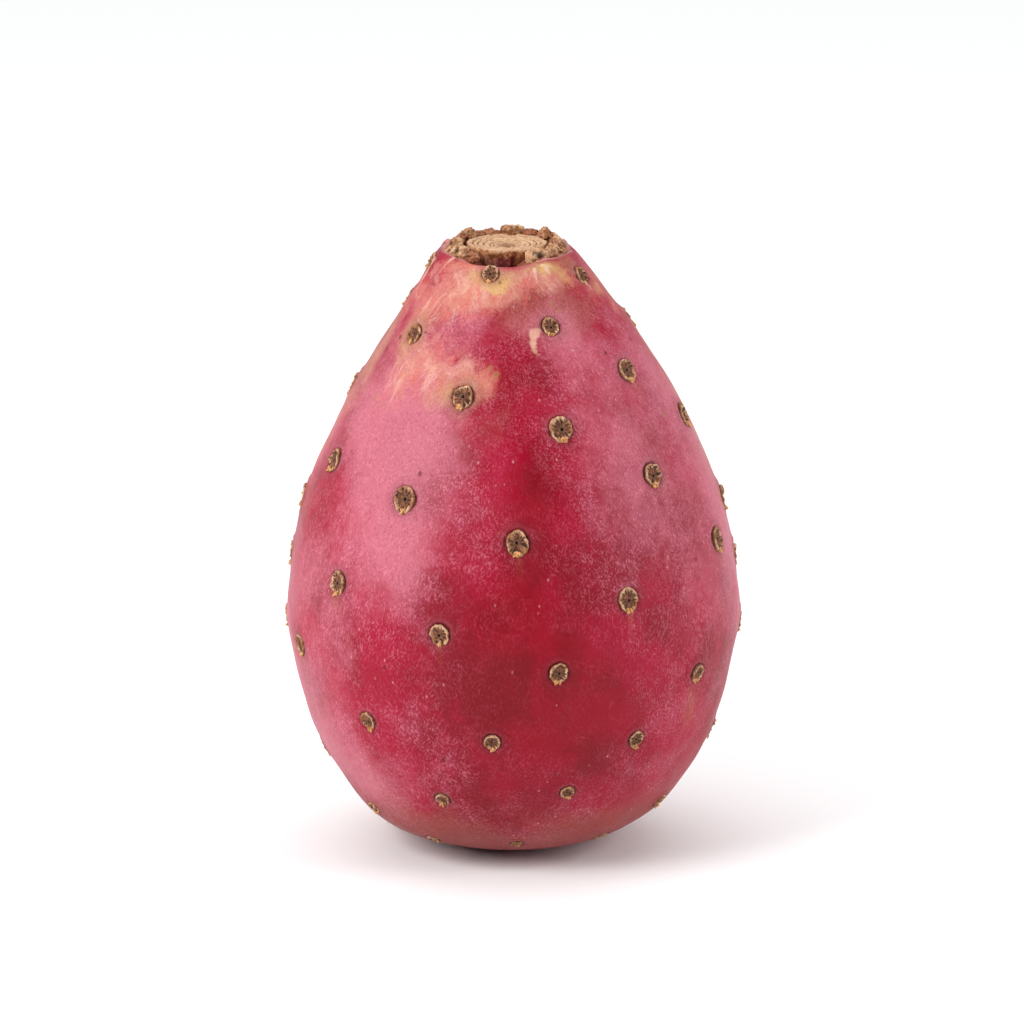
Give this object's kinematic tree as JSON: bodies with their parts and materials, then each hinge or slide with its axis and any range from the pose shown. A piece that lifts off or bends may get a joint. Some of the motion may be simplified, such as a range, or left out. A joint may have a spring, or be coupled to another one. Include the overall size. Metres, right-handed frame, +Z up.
{
  "type": "prickly pear fruit",
  "caption": "Whole egg-shaped prickly pear fruit standing on its broad end, with corky areole pads in spirals over the skin and a ringed woody stem scar on top.",
  "frame": {"origin": "under the middle of the fruit, on the surface that it stands on", "axes": "+Z up along the fruit's own axis to the stem scar, -Y towards the side that is seen first, +X to its right"},
  "size_m": [0.058, 0.058, 0.0781],
  "materials": {
    "fruit_skin": "satin, waxy rind, crimson with pink bloom and yellow-green patches",
    "areole_cork": "dry tan cork with dark brown felt",
    "stem_scar_wood": "dry pale wood with growth rings"
  },
  "bodies": {
    "root": {"fruit": "fruit_skin"}
  },
  "joints": []
}
